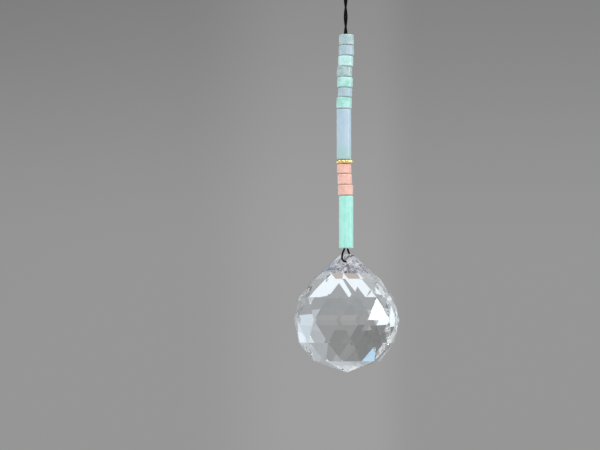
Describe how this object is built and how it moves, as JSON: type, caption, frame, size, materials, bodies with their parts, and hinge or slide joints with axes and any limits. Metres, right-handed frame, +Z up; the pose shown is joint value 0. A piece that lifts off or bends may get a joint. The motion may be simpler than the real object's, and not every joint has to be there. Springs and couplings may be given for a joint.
{
  "type": "crystal suncatcher",
  "caption": "Faceted clear crystal ball hung on a doubled black cord under a column of pastel stone tube beads with a gold spacer disc; it hangs in a window and scatters sunlight.",
  "frame": {"origin": "where a hook bears, inside the top of the cord's hanging loop", "axes": "+Z up along the hanging column, -Y towards the front, +X to the right seen from the front"},
  "size_m": [0.0296, 0.0296, 0.1285],
  "materials": {
    "crystal": "clear, polished flat facets",
    "grey_stone": "polished, mottled grey and mint",
    "blue_stone": "polished, pale blue with faint streaks",
    "mint_stone": "polished, pale mint",
    "pink_stone": "polished, pale pink",
    "gold_plate": "polished gold plate",
    "black_cord": "twisted black thread"
  },
  "bodies": {
    "root": {"crystal_ball": "crystal", "short_bead_1_grey": "grey_stone", "short_bead_2_blue": "blue_stone", "short_bead_3_mint": "mint_stone", "short_bead_4_grey": "grey_stone", "short_bead_5_mint": "mint_stone", "short_bead_6_blue": "blue_stone", "short_bead_7_mint": "mint_stone", "long_bead_blue": "blue_stone", "gold_spacer_disc": "gold_plate", "short_bead_8_pink": "pink_stone", "short_bead_9_pink": "pink_stone", "short_bead_10_pink": "pink_stone", "long_bead_mint": "mint_stone", "stringing_cord": "black_cord", "hanging_cord": "black_cord"}
  },
  "joints": []
}
